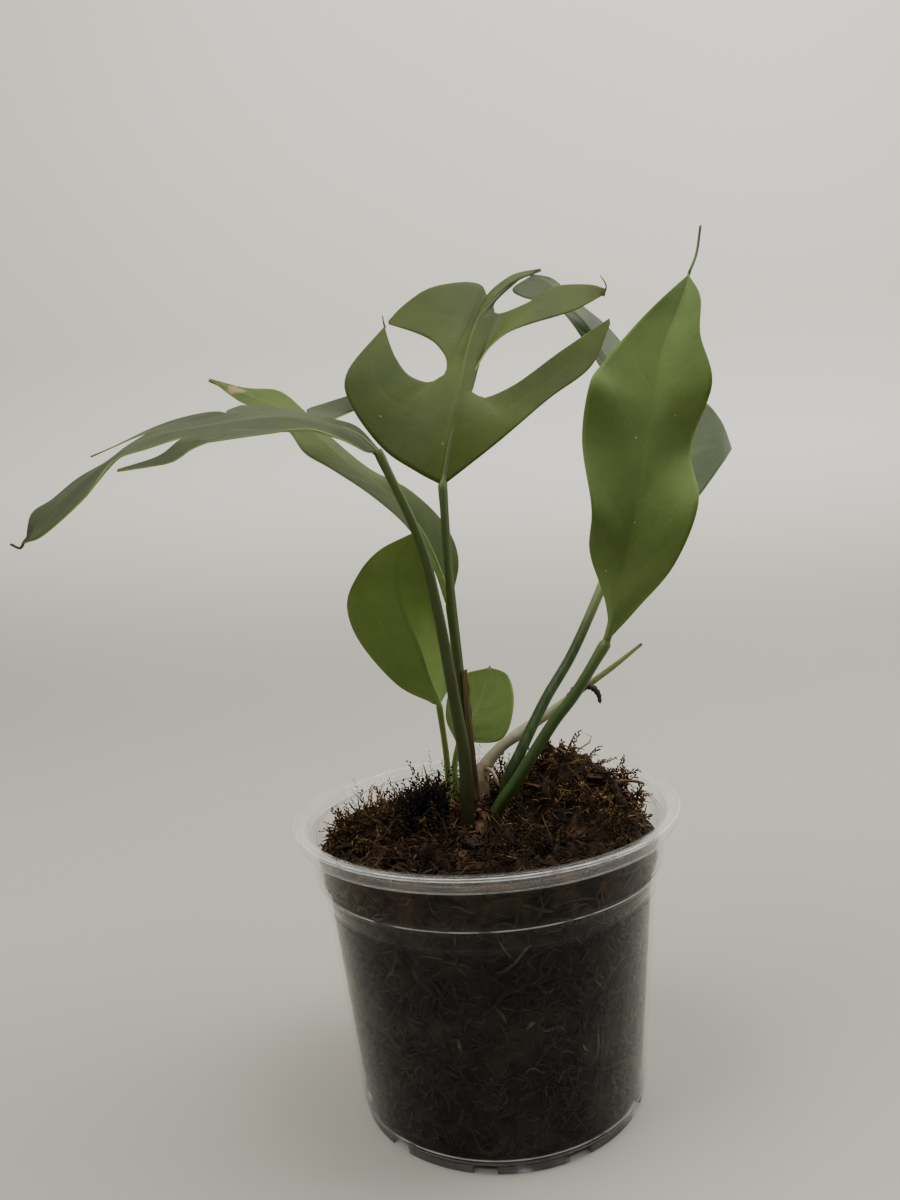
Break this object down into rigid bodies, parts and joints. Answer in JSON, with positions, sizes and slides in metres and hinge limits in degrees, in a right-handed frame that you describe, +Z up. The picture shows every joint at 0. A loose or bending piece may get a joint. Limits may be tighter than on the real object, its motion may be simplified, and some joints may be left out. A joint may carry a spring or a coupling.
{
  "type": "potted split-leaf climbing aroid",
  "caption": "Young split-leaf climbing aroid with waved and lobed leaves on slender stalks, rooted in heaped fibrous soil in a clear tapered nursery pot.",
  "frame": {"origin": "centre of the pot's flat underside, on the surface it stands on", "axes": "+Z up along the pot's axis, -Y towards the side that the picture shows, +X to its right"},
  "size_m": [0.2104, 0.1375, 0.269],
  "materials": {
    "clear_plastic": "thin clear moulded plastic, glossy, slightly hazed",
    "soil": "damp fibrous moss and bark, matte, dark brown",
    "leaf_dark": "mid green living leaf, satin",
    "leaf_grey": "grey-green living leaf, satin sheen",
    "leaf_young": "yellow-green young leaf, satin, lets light through",
    "leaf_light": "light green living leaf, satin",
    "stem_pale": "pale green-buff living stem, matte",
    "dry_skin": "dry papery brown skin"
  },
  "bodies": {
    "root": {"pot": "clear_plastic", "soil": "soil", "leaf_front_split": "leaf_dark", "leaf_left_split": "leaf_grey", "leaf_left_young": "leaf_young", "leaf_low_round": "leaf_light", "leaf_back_small": "leaf_light", "leaf_right_whole": "leaf_dark", "leaf_right_split": "leaf_grey", "stem": "stem_pale", "dry_sheath": "dry_skin"}
  },
  "joints": []
}
